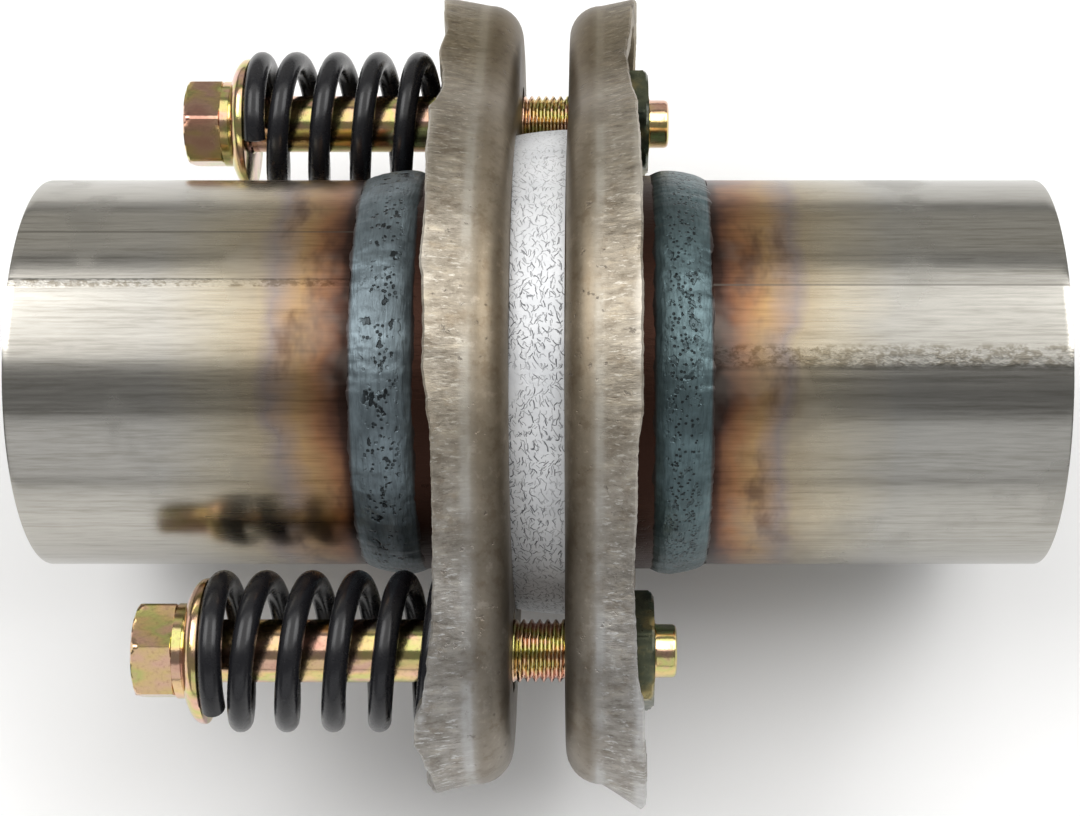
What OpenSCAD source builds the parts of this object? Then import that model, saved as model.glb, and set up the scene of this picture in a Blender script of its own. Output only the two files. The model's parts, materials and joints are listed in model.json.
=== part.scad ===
// Two-bolt spherical exhaust joint: two tube stubs, two pressed flanges, a ball gasket
// and two sprung bolts.
// Frame: X runs along the pipes (inlet at -X, outlet at +X), Y along the line of the two
// bolts, Z up. The origin is on the pipe axis, midway between the two flanges.

/* [Pipes] */
// Outside diameter of both tube stubs
pipe_od = 63.5; // [63:0.1:64]
// Wall thickness of the tube stubs
pipe_wall = 1.5; // [1.2:0.1:2]
// Length of the whole joint from tube end to tube end
overall_length = 162; // [150:1:220]

/* [Flanges] */
// Clear gap between the two flange faces
flange_gap = 8.2; // [7.8:0.1:9]
// Distance between the two bolt centres
bolt_spread = 96; // [95:0.5:100]
// Half the width of a flange, measured across the bolt line
flange_half_width = 46; // [45:0.5:50]
// Radius of the long side curves of the flange outline
side_radius = 52; // [51:1:58]
// Radius of the ear around each bolt
ear_radius = 21.8; // [21:0.1:24]
// Sheet thickness of the turned-back rims
rim_sheet = 4.2; // [3.5:0.1:4.5]
// Outer radius of the bend between flange face and rim
bend_radius = 5.5; // [5:0.1:6]
// How far a rim spreads outwards at its raw edge
rim_flare = 1.3; // [0.8:0.1:1.6]
// Depth of the socket flange from face to raw edge
socket_rim_depth = 13.3; // [12.5:0.1:14]
// Depth of the gasket flange from face to raw edge
gasket_rim_depth = 11.4; // [11:0.1:13]
// Thickness of the socket flange where the springs sit
socket_web = 8.9; // [8.7:0.1:9.5]
// Thickness of the gasket flange where the nuts sit
gasket_web = 4.6; // [4.2:0.1:5]
// Outside diameter of the flange necks
neck_od = 65; // [64.8:0.1:65.4]

/* [Ball and gasket] */
// Radius of the gasket's spherical face
ball_radius = 40; // [39.6:0.1:40.2]
// Running gap between the gasket and its socket
ball_gap = 0.3; // [0.2:0.05:0.4]
// How far the gasket reaches past the socket flange face
gasket_reach = 3.3; // [2.5:0.1:3.4]
// Depth of the recess that holds the back of the gasket
gasket_recess = 2; // [1:0.1:2]
// Wall thickness of the sleeve that carries the gasket
sleeve_wall = 1.5; // [1.2:0.1:1.8]

/* [Weld beads] */
// Distance of the inlet weld from the middle of the gap
inlet_weld_at = 23.85; // [23.5:0.05:25]
// Width of the inlet weld bead
inlet_weld_width = 9.9; // [8:0.1:10]
// Distance of the outlet weld from the middle of the gap
outlet_weld_at = 22.1; // [22:0.05:24]
// Width of the outlet weld bead
outlet_weld_width = 9; // [8:0.1:10]
// How far a weld bead stands proud of the pipe
weld_height = 1.7; // [1.5:0.1:1.9]

/* [Bolts] */
// Diameter of the bolt shank and thread crests
bolt_d = 9.8; // [9.6:0.1:10]
// Distance from the middle of the gap to the underside of a bolt head
head_seat_at = 51.7; // [51:0.1:54]
// Height of the bolt's hexagon
hex_height = 6.4; // [6:0.1:7]
// Width of the bolt's hexagon across its flats
hex_flats = 14; // [13.5:0.1:14.5]
// Height of the bolt's round flange and its collar
head_flange_height = 4.7; // [4.2:0.1:5]
// Diameter of the bolt's round flange
head_flange_d = 22.6; // [22:0.1:23]
// Distance from the middle of the gap to the bolt's threaded tip
tip_at = 21.3; // [20:0.1:23]
// Width of a nut across its flats
nut_flats = 17; // [16:0.1:17.4]
// Height of a nut
nut_height = 9; // [8:0.1:9.2]

/* [Springs] */
// Outside diameter of a spring
spring_od = 25.2; // [24.5:0.1:25.4]
// Diameter of the spring wire
wire_d = 3.7; // [3.4:0.1:3.8]
// Turns in a spring
spring_turns = 5.75; // [5.5:0.05:6]
// Share of a turn that lies flat at each end
flat_turns = 0.3; // [0.2:0.05:0.3]
// Share of a turn over which the wire then bends into its full pitch
bend_turns = 0.3; // [0.2:0.05:0.3]

/* [Hidden] */

$fn = 96;
// Overlap between joined solids, and how far a cut runs past what it cuts
eps = 0.01;
past = 1;
pipe_r = pipe_od / 2;
bore_r = pipe_r - pipe_wall;
neck_r = neck_od / 2;
neck_wall = 2.1;
neck_bore_r = neck_r - neck_wall;
weld_root = 0.4;
half_length = overall_length / 2;
half_gap = flange_gap / 2;
bolt_y = bolt_spread / 2;
bolt_r = bolt_d / 2;
swing_hole_r = 6.5;
bolt_hole_r = 5.3;
neck_fillet = 2.6;
neck_fillet_height = 3.5;
bend_steps = 6;
socket_depth = 6.4;
sleeve_front_at = -6.5;
sleeve_back_at = 20;
head_top_at = head_seat_at + head_flange_height + hex_height;
collar_r = 7.4;
collar_height = 1.5;
head_rim_height = 0.8;
head_rim_round = 0.3;
hex_crown_r = hex_flats / 2 - 0.2;
nut_crown_r = nut_flats / 2 - 0.2;
crown_height = 10;
tip_r = bolt_r - 0.75;
tip_length = 3.4;
tip_taper = 1;
coil_gap = 0.05;

// How far each part is turned about its own axis, in degrees from the bolt line
front_head_turn = 13;
rear_head_turn = 24;
front_nut_turn = 5;
rear_nut_turn = 20;
front_spring_start = 160;
rear_spring_start = 135;

// The two long sides of a flange are arcs about points this far past the pipe axis.
side_shift = side_radius - flange_half_width;

// Places a shape drawn about local Z so that local Z runs along the pipes, local X
// along the bolt line and local Y upwards.
module along_pipe() {
    rotate([90, 0, 90]) children();
}

// The same, pointing towards the inlet.
module towards_inlet() {
    mirror([1, 0, 0]) along_pipe() children();
}

// A tube from z0 to z1
module tube(outer_r, inner_r, z0, z1) {
    translate([0, 0, z0])
        difference() {
            cylinder(r = outer_r, h = z1 - z0);
            translate([0, 0, -past]) cylinder(r = inner_r, h = z1 - z0 + 2 * past);
        }
}

// A stub: full wall up to the weld's toe, then a step that the weld root fills
module pipe_stub(weld_at, weld_width) {
    toe = weld_at + weld_width / 2;
    difference() {
        union() {
            translate([0, 0, weld_at]) cylinder(r = pipe_r - weld_root, h = half_length - weld_at);
            translate([0, 0, toe]) cylinder(r = pipe_r, h = half_length - toe);
        }
        translate([0, 0, weld_at - past])
            cylinder(r = bore_r, h = half_length - weld_at + 2 * past);
    }
}

// A domed ring of weld. It reaches down to the neck on one side of the joint and into the
// stub's step on the other.
module weld_bead(weld_at, weld_width) {
    dome_height = weld_height - weld_root;
    dome_r = (pow(weld_width / 2, 2) + pow(dome_height, 2)) / (2 * dome_height);
    rotate_extrude()
        difference() {
            intersection() {
                translate([pipe_r + dome_height - dome_r, weld_at]) circle(r = dome_r);
                translate([pipe_r - weld_root, weld_at - weld_width / 2])
                    square([weld_height, weld_width]);
            }
            translate([0, weld_at - weld_width]) square([neck_r, weld_width]);
        }
}

// A round pan: flat face at z = 0, rounded bend, then a side that spreads out to r at its
// raw edge
module pan(r, depth) {
    top = r - rim_flare;
    bend = [for (i = [0 : bend_steps]) let (turn = 90 * i / bend_steps)
        [top - bend_radius * (1 - sin(turn)), bend_radius * (1 - cos(turn))]];
    rotate_extrude() polygon(concat([[0, 0]], bend, [[r, depth], [0, depth]]));
}

// The hollow behind the web of a pan, cut a little past the raw edge
module pan_hollow(r, depth, web) {
    slope = rim_flare / (depth - bend_radius);
    edge_r = r - rim_sheet;
    translate([0, 0, web])
        cylinder(r1 = edge_r - slope * (depth - web), r2 = edge_r + slope * past,
            h = depth - web + past);
}

// Rim, flat web and neck of a flange, before its holes. Two wide pans cross to make the
// long sides, and a small pan makes the ear around each bolt. Its face is at z = 0.
module flange_blank(depth, web, neck_length) {
    difference() {
        union() {
            intersection() {
                translate([0, -side_shift, 0]) pan(side_radius, depth);
                translate([0, side_shift, 0]) pan(side_radius, depth);
            }
            for (along = [-1, 1]) translate([along * bolt_y, 0, 0]) pan(ear_radius, depth);
        }
        intersection() {
            translate([0, -side_shift, 0]) pan_hollow(side_radius, depth, web);
            translate([0, side_shift, 0]) pan_hollow(side_radius, depth, web);
        }
        for (along = [-1, 1]) translate([along * bolt_y, 0, 0]) pan_hollow(ear_radius, depth, web);
    }
    cylinder(r = neck_r, h = neck_length);
    translate([0, 0, web - eps])
        cylinder(r1 = neck_r + neck_fillet, r2 = neck_r, h = neck_fillet_height);
}

module bolt_holes(hole_r, web) {
    for (along = [-1, 1])
        translate([along * bolt_y, 0, -past]) cylinder(r = hole_r, h = web + 2 * past);
}

// A half-profile of the spherical seat, about the ball centre in the other flange's face
module spherical_seat() {
    rotate_extrude()
        intersection() {
            translate([0, -flange_gap]) circle(r = ball_radius + ball_gap);
            translate([0, -past]) square([ball_radius + past, socket_depth + past]);
        }
}

// A hexagon with its z = 0 end chamfered by a cone
module crowned_hexagon(flats, height, crown_r, turn) {
    intersection() {
        rotate([0, 0, turn]) cylinder(r = flats / sqrt(3), h = height, $fn = 6);
        cylinder(r1 = crown_r, r2 = crown_r + crown_height, h = crown_height);
    }
}

// A bolt drawn with its tip towards +Z and the middle of the gap at z = 0
module bolt(turn) {
    rim_r = head_flange_d / 2;
    cone_height = head_flange_height - collar_height - head_rim_height;
    thread_end = tip_at - tip_length;
    translate([0, 0, -head_seat_at]) cylinder(r = bolt_r, h = head_seat_at + thread_end);
    translate([0, 0, thread_end]) cylinder(r1 = bolt_r, r2 = tip_r, h = tip_taper);
    translate([0, 0, thread_end]) cylinder(r = tip_r, h = tip_length);
    translate([0, 0, -head_seat_at - head_rim_height]) cylinder(r = rim_r, h = head_rim_height);
    translate([0, 0, -head_seat_at - head_rim_height - cone_height])
        cylinder(r1 = collar_r, r2 = rim_r - head_rim_round, h = cone_height);
    translate([0, 0, -head_seat_at - head_flange_height]) cylinder(r = collar_r, h = collar_height);
    translate([0, 0, -head_top_at])
        crowned_hexagon(hex_flats, hex_height + eps, hex_crown_r, turn);
}

// A hexagon nut, chamfered at its outer end and seated on the gasket flange's web
module nut(turn) {
    seat = half_gap + gasket_web;
    difference() {
        translate([0, 0, seat + nut_height]) mirror([0, 0, 1])
            crowned_hexagon(nut_flats, nut_height, nut_crown_r, turn);
        translate([0, 0, seat - past]) cylinder(r = bolt_r, h = nut_height + 2 * past);
    }
}

// How far the wire has climbed, after a number of turns from either end of a spring: it
// lies flat, then bends into its full pitch.
spring_height = head_seat_at - half_gap - socket_web;
climb = spring_height - wire_d - 2 * coil_gap;
full_pitch = climb / (spring_turns - 2 * flat_turns - bend_turns);
function rise(n) = (n < flat_turns) ? 0
    : (n < flat_turns + bend_turns) ? full_pitch * pow(n - flat_turns, 2) / (2 * bend_turns)
    : full_pitch * (n - flat_turns - bend_turns / 2);
function wire_height(n) = wire_d / 2 + coil_gap
    + ((n < spring_turns / 2) ? rise(n) : climb - rise(spring_turns - n));

// A closed-end, left-hand coil spring standing on z = 0
module coil_spring(start) {
    per_turn = 20;
    sides = 8;
    coil_r = (spring_od - wire_d) / 2;
    rings = ceil(spring_turns * per_turn);
    ring_points = [for (i = [0 : rings], k = [0 : sides - 1])
        let (n = i * spring_turns / rings, a = start - 360 * n, t = 360 * k / sides,
            r = coil_r + wire_d / 2 * cos(t))
        [r * cos(a), r * sin(a), wire_height(n) + wire_d / 2 * sin(t)]];
    walls = [for (i = [0 : rings - 1], k = [0 : sides - 1])
        let (a = i * sides + k, b = i * sides + (k + 1) % sides)
        [a, b, b + sides, a + sides]];
    first_cap = [[for (k = [sides - 1 : -1 : 0]) k]];
    last_cap = [[for (k = [0 : sides - 1]) rings * sides + k]];
    polyhedron(points = ring_points, faces = concat(walls, first_cap, last_cap));
}

module inlet_pipe() {
    color([0.66, 0.64, 0.61]) towards_inlet() pipe_stub(inlet_weld_at, inlet_weld_width);
}

module outlet_pipe() {
    color([0.68, 0.66, 0.63]) along_pipe() pipe_stub(outlet_weld_at, outlet_weld_width);
}

module inlet_weld_bead() {
    color([0.37, 0.45, 0.5]) towards_inlet() weld_bead(inlet_weld_at, inlet_weld_width);
}

module outlet_weld_bead() {
    color([0.37, 0.45, 0.5]) along_pipe() weld_bead(outlet_weld_at, outlet_weld_width);
}

module socket_flange() {
    color([0.62, 0.58, 0.52]) towards_inlet() translate([0, 0, half_gap])
        difference() {
            flange_blank(socket_rim_depth, socket_web, inlet_weld_at - half_gap);
            spherical_seat();
            translate([0, 0, -1]) cylinder(r = neck_bore_r, h = inlet_weld_at + 2);
            bolt_holes(swing_hole_r, socket_web);
        }
}

module gasket_flange() {
    color([0.62, 0.58, 0.52]) along_pipe() translate([0, 0, half_gap])
        difference() {
            flange_blank(gasket_rim_depth, gasket_web, outlet_weld_at - half_gap);
            translate([0, 0, -1]) cylinder(r = ball_radius, h = gasket_recess + 1);
            translate([0, 0, -1]) cylinder(r = neck_bore_r, h = outlet_weld_at + 2);
            bolt_holes(bolt_hole_r, gasket_web);
        }
}

module gasket_sleeve() {
    color([0.6, 0.59, 0.57]) along_pipe()
        tube(neck_bore_r, neck_bore_r - sleeve_wall, sleeve_front_at, sleeve_back_at);
}

// Ball gasket: spherical in front, cylindrical where it sits in its recess
module gasket_ring() {
    color([0.86, 0.87, 0.88]) along_pipe()
        rotate_extrude()
            difference() {
                union() {
                    intersection() {
                        translate([0, half_gap]) circle(r = ball_radius);
                        translate([0, -half_gap - gasket_reach])
                            square([ball_radius + past, flange_gap + gasket_reach]);
                    }
                    translate([0, half_gap]) square([ball_radius, gasket_recess]);
                }
                translate([0, -half_length]) square([neck_bore_r, overall_length]);
            }
}

module front_bolt() {
    color([0.75, 0.62, 0.4]) along_pipe() translate([-bolt_y, 0, 0]) bolt(front_head_turn);
}

module rear_bolt() {
    color([0.75, 0.62, 0.4]) along_pipe() translate([bolt_y, 0, 0]) bolt(rear_head_turn);
}

module front_nut() {
    color([0.2, 0.24, 0.2]) along_pipe() translate([-bolt_y, 0, 0]) nut(front_nut_turn);
}

module rear_nut() {
    color([0.2, 0.24, 0.2]) along_pipe() translate([bolt_y, 0, 0]) nut(rear_nut_turn);
}

module front_spring() {
    color([0.06, 0.06, 0.06]) along_pipe()
        translate([-bolt_y, 0, -head_seat_at]) coil_spring(front_spring_start);
}

module rear_spring() {
    color([0.06, 0.06, 0.06]) along_pipe()
        translate([bolt_y, 0, -head_seat_at]) coil_spring(rear_spring_start);
}

inlet_pipe();
inlet_weld_bead();
socket_flange();
outlet_pipe();
outlet_weld_bead();
gasket_flange();
gasket_sleeve();
gasket_ring();
front_bolt();
rear_bolt();
front_spring();
rear_spring();
front_nut();
rear_nut();
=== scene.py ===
import json
import math

import bpy
import bmesh
import numpy as np
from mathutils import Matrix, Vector, noise


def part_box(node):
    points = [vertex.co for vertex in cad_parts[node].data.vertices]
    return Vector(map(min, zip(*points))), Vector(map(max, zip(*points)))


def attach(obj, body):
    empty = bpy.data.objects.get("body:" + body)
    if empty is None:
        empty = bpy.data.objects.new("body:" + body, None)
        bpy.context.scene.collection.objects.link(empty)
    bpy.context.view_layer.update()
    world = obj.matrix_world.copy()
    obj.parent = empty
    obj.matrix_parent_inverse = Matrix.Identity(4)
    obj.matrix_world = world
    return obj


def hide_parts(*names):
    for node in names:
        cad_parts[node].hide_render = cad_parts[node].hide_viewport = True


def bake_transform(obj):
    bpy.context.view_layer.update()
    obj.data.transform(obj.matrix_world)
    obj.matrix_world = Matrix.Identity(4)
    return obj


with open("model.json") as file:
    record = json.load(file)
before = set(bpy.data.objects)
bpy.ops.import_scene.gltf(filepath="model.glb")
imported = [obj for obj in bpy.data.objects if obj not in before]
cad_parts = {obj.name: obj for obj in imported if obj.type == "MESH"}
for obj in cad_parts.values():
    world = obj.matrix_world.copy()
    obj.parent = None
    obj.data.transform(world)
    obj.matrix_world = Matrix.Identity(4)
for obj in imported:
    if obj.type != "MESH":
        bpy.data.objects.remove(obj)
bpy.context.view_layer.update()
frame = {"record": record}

# Two-bolt spherical exhaust joint, with X along the pipes, Y along the bolt line and Z up.
# Lengths of meshes are in millimetres and turn into metres in mesh_object(). The camera, the
# lights, the floor and distances inside shaders are in metres.
MM = 0.001


def node_box(node):
    """A CAD node's lowest and highest corners, in millimetres."""
    low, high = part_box(node)
    return np.array(low) / MM, np.array(high) / MM


# ---------------------------------------------------------------- sizes from the frame
INLET_LO, INLET_HI = node_box("inlet_pipe")
OUTLET_HI = node_box("outlet_pipe")[1]
SOCKET_HI = node_box("socket_flange")[1]
SLEEVE_LO, SLEEVE_HI = node_box("gasket_sleeve")
GASKET_LO, GASKET_HI = node_box("gasket_ring")
BOLT_LO, BOLT_HI = node_box("front_bolt")
NUT_LO, NUT_HI = node_box("front_nut")
SPRING_LO = node_box("front_spring")[0]

WALL = 1.5
PIPE_R = INLET_HI[2]
BORE_R = PIPE_R - WALL
NECK_R = 32.5
NECK_FILLET = (2.6, 3.5)
NECK_BORE_R = SLEEVE_HI[2]
BALL_R = GASKET_HI[2]
HALF_GAP = -SOCKET_HI[0]
BALL_X = frame["record"]["behaviour"]["joints"][0]["pos_m"][0] / MM
BOLT_Y = -(BOLT_LO[1] + BOLT_HI[1]) / 2
HALF_WIDTH = SOCKET_HI[2]
EAR_TIP = SOCKET_HI[1]
SIDE_R = 52.0
SIDE_SHIFT = SIDE_R - HALF_WIDTH
EAR_R = EAR_TIP - BOLT_Y
BEND_R = 5.5
SHEET = 4.2
FLARE = 1.3
SOCKET_WEB = 8.9
HOLDER_WEB = 4.6
SOCKET_DEPTH = 13.3
HOLDER_DEPTH = 11.4
HEAD_SEAT_X = SPRING_LO[0]
SPRING_SEAT_X = -HALF_GAP - SOCKET_WEB
HEAD_FLANGE = 4.7
INLET_WELD = (-23.85, 9.9)
OUTLET_WELD = (22.1, 9.0)

# ---------------------------------------------------------------- camera
CAMERA_ELEVATION = math.radians(65.3)
CAMERA_DISTANCE = 0.343
CAMERA_FOOT_X = 9.5 * MM
LENS = 68.8
SHIFT = (-0.0565, -0.0333)


def make_camera():
    data = bpy.data.cameras.new("camera")
    data.lens = LENS
    data.sensor_width = 36
    data.shift_x, data.shift_y = SHIFT
    data.clip_start, data.clip_end = 0.01, 10
    camera = bpy.data.objects.new("camera", data)
    bpy.context.collection.objects.link(camera)
    back = Vector((0, -math.cos(CAMERA_ELEVATION), math.sin(CAMERA_ELEVATION)))
    camera.location = Vector((CAMERA_FOOT_X, 0, 0)) + back * CAMERA_DISTANCE
    camera.rotation_euler = (math.pi / 2 - CAMERA_ELEVATION, 0, 0)
    bpy.context.scene.camera = camera


# ---------------------------------------------------------------- mesh helpers
def smooth_step(low, high, value):
    t = np.clip((value - low) / (high - low), 0, 1)
    return t * t * (3 - 2 * t)


def ripple(x, y, z, scale, octaves=3):
    """Smooth noise from -1 to 1 at points in millimetres."""
    return np.array([noise.fractal(Vector(p), 0.6, 2.0, octaves)
                     for p in np.column_stack([np.ravel(v) for v in
                                               np.broadcast_arrays(x, y, z)]) / scale])


def mesh_object(name, verts, faces, uvs, sharp):
    """An object from points in millimetres, smooth except over edges past sharp degrees."""
    mesh = bpy.data.meshes.new(name)
    mesh.from_pydata((np.asarray(verts, float) * MM).tolist(), [], faces)
    layer = mesh.uv_layers.new(name="UVMap")
    layer.data.foreach_set("uv", np.asarray(uvs, np.float32).ravel())
    shape = bmesh.new()
    shape.from_mesh(mesh)
    bmesh.ops.recalc_face_normals(shape, faces=shape.faces)
    shape.to_mesh(mesh)
    shape.free()
    finish_shading(mesh, sharp)
    obj = bpy.data.objects.new(name, mesh)
    bpy.context.collection.objects.link(obj)
    return obj


def finish_shading(mesh, sharp):
    mesh.polygons.foreach_set("use_smooth", [True] * len(mesh.polygons))
    mesh.set_sharp_from_angle(angle=math.radians(sharp))


def grid_object(name, points, closed_loop, sharp=40):
    """A surface through points[i][j]: j goes round and closes; i runs along the profile and
    either closes too, or ends in two caps."""
    rows, around = points.shape[:2]
    faces, uvs = [], []
    for i in range(rows if closed_loop else rows - 1):
        k = (i + 1) % rows
        for j in range(around):
            m = (j + 1) % around
            faces.append((i * around + j, i * around + m, k * around + m, k * around + j))
            u0, u1 = j / around, (j + 1) / around
            v0, v1 = i / rows, (i + 1) / rows
            uvs += [(u0, v0), (u1, v0), (u1, v1), (u0, v1)]
    if not closed_loop:
        for start in (0, (rows - 1) * around):
            faces.append(tuple(range(start, start + around)))
            uvs += [(0, 0)] * around
    return mesh_object(name, points.reshape(-1, 3), faces, uvs, sharp)


def ring_points(xs, radii, around, centre=(0, 0)):
    """Circles round the X direction, one for each point of a profile."""
    angle = np.linspace(0, 2 * math.pi, around, endpoint=False)
    xs, radii = np.asarray(xs, float)[:, None], np.asarray(radii, float)[:, None]
    return np.stack([np.broadcast_to(xs, (len(xs), around)),
                     centre[0] + radii * np.cos(angle), centre[1] + radii * np.sin(angle)], -1)


def cut_hole(obj, y, z, radius, x0, x1, around=96):
    """Cuts a round hole along X with an exact boolean, and applies it."""
    cutter = grid_object("cutter", ring_points([x0, x1], [radius, radius], around, (y, z)), False)
    cut = obj.modifiers.new("hole", "BOOLEAN")
    cut.operation, cut.solver, cut.object = "DIFFERENCE", "EXACT", cutter
    bpy.context.view_layer.update()
    graph = bpy.context.evaluated_depsgraph_get()
    mesh = bpy.data.meshes.new_from_object(obj.evaluated_get(graph))
    obj.modifiers.clear()
    old = obj.data
    obj.data = mesh
    bpy.data.meshes.remove(old)
    bpy.data.objects.remove(cutter)


# ---------------------------------------------------------------- material helpers
class Shader:
    """A small helper round one material's node tree."""

    def __init__(self, name, metallic, roughness, colour=(0.5, 0.5, 0.5)):
        self.material = bpy.data.materials.new(name)
        self.material.use_nodes = True
        self.tree = self.material.node_tree
        self.surface = self.tree.nodes["Principled BSDF"]
        self.surface.inputs["Metallic"].default_value = metallic
        self.surface.inputs["Roughness"].default_value = roughness
        self.surface.inputs["Base Color"].default_value = (*colour, 1)
        self.place = self.node("ShaderNodeTexCoord").outputs["Object"]

    def node(self, kind, values=None, **settings):
        made = self.tree.nodes.new(kind)
        for key, value in settings.items():
            setattr(made, key, value)
        for key, value in (values or {}).items():
            self.feed(made.inputs[key], value)
        return made

    def feed(self, socket, value):
        if isinstance(value, bpy.types.NodeSocket):
            self.tree.links.new(value, socket)
        else:
            socket.default_value = value

    def maths(self, operation, a, b=0.0, c=0.0, clamp=False):
        return self.node("ShaderNodeMath", {0: a, 1: b, 2: c}, operation=operation,
                         use_clamp=clamp).outputs[0]

    def split(self, vector):
        return self.node("ShaderNodeSeparateXYZ", {0: vector}).outputs

    def stretched(self, scale):
        """Object coordinates in metres times a scale for each axis."""
        return self.node("ShaderNodeVectorMath", {0: self.place, 1: scale},
                         operation="MULTIPLY").outputs[0]

    def noise(self, scale, detail=4.0, rough=0.55, shift=0.0):
        at = self.stretched(scale)
        if shift:
            at = self.node("ShaderNodeVectorMath", {0: at, 1: (shift, shift, shift)},
                           operation="ADD").outputs[0]
        return self.node("ShaderNodeTexNoise", {"Vector": at, "Scale": 1.0, "Detail": detail,
                                                "Roughness": rough}).outputs[0]

    def ramp(self, value, stops):
        """A colour ramp from (place, colour) stops."""
        made = self.node("ShaderNodeValToRGB", {0: value})
        bands = made.color_ramp.elements
        while len(bands) < len(stops):
            bands.new(0.5)
        for band, (at, colour) in zip(bands, stops):
            band.position = at
            band.color = (*colour, 1)
        return made.outputs[0]

    def step(self, value, low, high):
        """0 below low, 1 above high, smooth between."""
        return self.node("ShaderNodeMapRange", {0: value, 1: low, 2: high, 3: 0.0, 4: 1.0},
                         interpolation_type="SMOOTHSTEP").outputs[0]

    def mix(self, share, a, b, blend="MIX"):
        made = self.node("ShaderNodeMix", data_type="RGBA", blend_type=blend)
        for index, value in ((0, share), (6, a), (7, b)):
            if isinstance(value, tuple) and len(value) == 3:
                value = (*value, 1)
            self.feed(made.inputs[index], value)
        return made.outputs[2]

    def bump(self, height, strength, distance, below=None):
        values = {"Height": height, "Strength": strength, "Distance": distance}
        if below is not None:
            values["Normal"] = below
        return self.node("ShaderNodeBump", values).outputs[0]

    def out(self, **values):
        for key, value in values.items():
            self.feed(self.surface.inputs[key.replace("_", " ")], value)
        return self.material


# ---------------------------------------------------------------- materials
def lengthwise_line(s, y, z, angle, half_width):
    """1 on a line down the tube, at an angle in degrees from the top toward the rear bolt."""
    turn = s.maths("ARCTAN2", y, z)
    away = s.maths("ABSOLUTE", s.maths("SUBTRACT", turn, math.radians(angle)))
    return s.maths("SUBTRACT", 1.0, s.step(away, math.radians(half_width / 2),
                                           math.radians(half_width)))


def tube_material(name, toe_x, away, steel, tint_reach, seam, scratch):
    """Brushed stainless with heat tint that fades away from the weld's toe."""
    s = Shader(name, 1.0, 0.25)
    x, y, z = s.split(s.place)[:3]
    wander = s.noise((40, 55, 55), 4, 0.6)
    spread = s.maths("MULTIPLY_ADD", wander, 14 * MM, -7 * MM)
    along = s.maths("MULTIPLY_ADD", x, away, -toe_x * away * MM)
    share = s.maths("DIVIDE", s.maths("ADD", along, spread), tint_reach * MM, clamp=True)
    streak = s.noise((14, 900, 900), 5, 0.65)
    fine = s.noise((160, 2600, 2600), 3, 0.6, 3)
    cloud = s.noise((45, 45, 45), 4, 0.6, 9)
    tint = s.ramp(share, [(0.0, (0.05, 0.028, 0.022)), (0.04, (0.13, 0.062, 0.04)),
                          (0.11, (0.29, 0.145, 0.072)), (0.20, (0.37, 0.235, 0.115)),
                          (0.27, (0.33, 0.235, 0.165)), (0.33, (0.275, 0.225, 0.20)),
                          (0.40, (0.37, 0.31, 0.22)), (0.55, (0.40, 0.36, 0.28)),
                          (0.8, tuple(0.97 * c for c in steel)), (1.0, steel)])
    toe = s.maths("SUBTRACT", 1.0, s.step(along, 0.0002, 0.0016))
    tint = s.mix(s.maths("MULTIPLY", toe, 0.8), tint, (0.03, 0.018, 0.015))
    soot = s.maths("MULTIPLY", s.step(s.noise((110, 60, 60), 4, 0.6, 21), 0.48, 0.66),
                   s.maths("SUBTRACT", 1.0, s.step(share, 0.22, 0.50)))
    tint = s.mix(s.maths("MULTIPLY", soot, 0.7), tint, (0.085, 0.045, 0.034))
    grain = s.ramp(s.maths("MULTIPLY_ADD", fine, 0.5, s.maths("MULTIPLY", streak, 0.5)),
                   [(0.34, (0.76, 0.75, 0.72)), (0.50, (1.0, 1.0, 1.0)),
                    (0.66, (1.14, 1.14, 1.14))])
    colour = s.mix(1.0, tint, grain, "MULTIPLY")
    dull = s.step(cloud, 0.52, 0.66)
    colour = s.mix(s.maths("MULTIPLY", dull, 0.30), colour, (0.22, 0.21, 0.19))
    skin = s.noise((650, 900, 900), 4, 0.7, 31)
    weld = lengthwise_line(s, y, z, *seam)
    colour = s.mix(s.maths("MULTIPLY", weld, s.step(skin, 0.44, 0.60)), colour,
                   s.mix(1.0, colour, (0.64, 0.61, 0.56), "MULTIPLY"))
    colour = s.mix(s.maths("MULTIPLY", lengthwise_line(s, y, z, *scratch), 0.55), colour,
                   (0.10, 0.092, 0.08))
    rough = s.maths("MULTIPLY_ADD", streak, 0.15, 0.14)
    rough = s.maths("MULTIPLY_ADD", dull, 0.10, rough)
    rough = s.maths("MULTIPLY_ADD", s.maths("SUBTRACT", 1.0, share), 0.10, rough)
    shape = s.bump(streak, 0.22, 0.00003)
    shape = s.bump(fine, 0.22, 0.000012, shape)
    shape = s.bump(s.maths("MULTIPLY", weld, skin), 0.6, 0.0001, shape)
    return s.out(Base_Color=colour, Roughness=rough, Normal=shape)


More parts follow.
